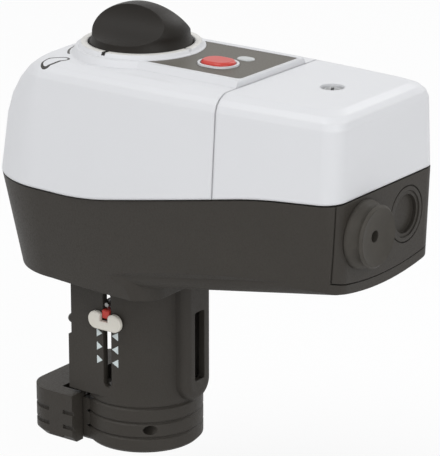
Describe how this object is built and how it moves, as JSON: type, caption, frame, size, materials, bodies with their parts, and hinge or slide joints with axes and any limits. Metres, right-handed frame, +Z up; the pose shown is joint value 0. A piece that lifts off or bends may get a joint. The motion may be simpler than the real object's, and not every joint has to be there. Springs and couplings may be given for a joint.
{
  "type": "electric valve actuator",
  "caption": "Motor actuator that clamps on a valve neck and drives its stem up or down, with a manual knob, a reset button, a stroke indicator and a cable grommet.",
  "frame": {"origin": "centre of the valve neck socket at the foot of the collar, on the spindle axis", "axes": "+Z up the spindle towards the knob, +X along the head towards the cable end, -Y the side with the stroke slot"},
  "size_m": [0.1605, 0.0702, 0.1578],
  "materials": {
    "pale_cover": "satin",
    "dark_housing": "fine texture",
    "dark_knob": "satin",
    "panel_dark": "satin",
    "red_plastic": "satin",
    "cream_plastic": "satin",
    "lens_grey": "polished",
    "black_rubber": "matte",
    "steel": "machined",
    "zinc_steel": "plated",
    "brass": "machined",
    "white_gear": "moulded",
    "board_green": "coated",
    "terminal_green": "moulded",
    "switch_blue": "moulded"
  },
  "bodies": {
    "housing": {"rear_cover": "pale_cover", "service_cover": "pale_cover", "service_screw": "zinc_steel", "housing_gasket": "black_rubber", "lower_housing": "dark_housing", "housing_screws": "zinc_steel", "gland_plate": "dark_housing", "knockout_plug": "dark_housing", "cable_grommet": "black_rubber", "neck": "dark_housing", "neck_screws": "zinc_steel", "guide_pin": "steel", "drive_motor": "zinc_steel", "idler_shaft": "steel", "frame_plate_lower": "zinc_steel", "frame_plate_upper": "zinc_steel", "frame_pillars": "steel", "lower_bearing": "brass", "upper_bearing": "brass", "label_panel": "panel_dark", "status_lens": "lens_grey", "key_board": "board_green", "circuit_board": "board_green", "terminal_block": "terminal_green", "dip_switch": "switch_blue", "knob_seal": "black_rubber"},
    "knob": {"manual_knob": "dark_knob", "knob_shaft": "white_gear", "drive_gear": "white_gear"},
    "spindle": {"spindle": "steel", "stem_connector": "zinc_steel", "position_pointer": "red_plastic", "pointer_pin": "steel"},
    "indicator": {"travel_indicator": "cream_plastic"},
    "clip": {"stem_clip": "steel"},
    "idler": {"idler_gear": "white_gear"},
    "pinion": {"motor_pinion": "brass"},
    "button": {"reset_button": "red_plastic"},
    "screw": {"clamp_screw": "zinc_steel"},
    "bow": {"clamp_bow": "dark_housing", "clamp_nut": "zinc_steel"}
  },
  "joints": [
    {"name": "knob_turn", "type": "hinge", "parent": "housing", "child": "knob", "pos_m": [0, 0, 0.1], "axis": [0, 0, 1], "range_deg": [0, 900]},
    {"name": "spindle_slide", "type": "slide", "parent": "housing", "child": "spindle", "axis": [0, 0, -1], "range_m": [0, 0.02]},
    {"name": "indicator_slide", "type": "slide", "parent": "housing", "child": "indicator", "axis": [0, 0, -1], "range_m": [0, 0.02]},
    {"name": "clip_slide", "type": "slide", "parent": "spindle", "child": "clip", "axis": [-1, 0, 0], "range_m": [0, 0.008]},
    {"name": "idler_spin", "type": "hinge", "parent": "housing", "child": "idler", "pos_m": [0.02275, 0, 0.095], "axis": [0, 0, 1], "range_deg": [-3000, 0]},
    {"name": "motor_spin", "type": "hinge", "parent": "housing", "child": "pinion", "pos_m": [0.0406, 0, 0.094], "axis": [0, 0, 1], "range_deg": [0, 7200]},
    {"name": "button_press", "type": "slide", "parent": "housing", "child": "button", "axis": [0, 0, -1], "range_m": [0, 0.0008], "stiffness_N_per_m": 400, "springref_m": -0.001},
    {"name": "screw_turn", "type": "hinge", "parent": "housing", "child": "screw", "pos_m": [0, -0.0152, 0.0088], "axis": [1, 0, 0], "range_deg": [0, 1350]},
    {"name": "bow_slide", "type": "slide", "parent": "housing", "child": "bow", "axis": [1, 0, 0], "range_m": [0, 0.003]}
  ],
  "couplings": [
    {"joint": "spindle_slide", "follows": "knob_turn", "m_per_rad": 0.0012732},
    {"joint": "indicator_slide", "follows": "knob_turn", "m_per_rad": 0.0012732},
    {"joint": "idler_spin", "follows": "knob_turn", "ratio": -3.3333},
    {"joint": "motor_spin", "follows": "knob_turn", "ratio": 8},
    {"joint": "screw_turn", "follows": "bow_slide", "rad_per_m": 7854}
  ]
}
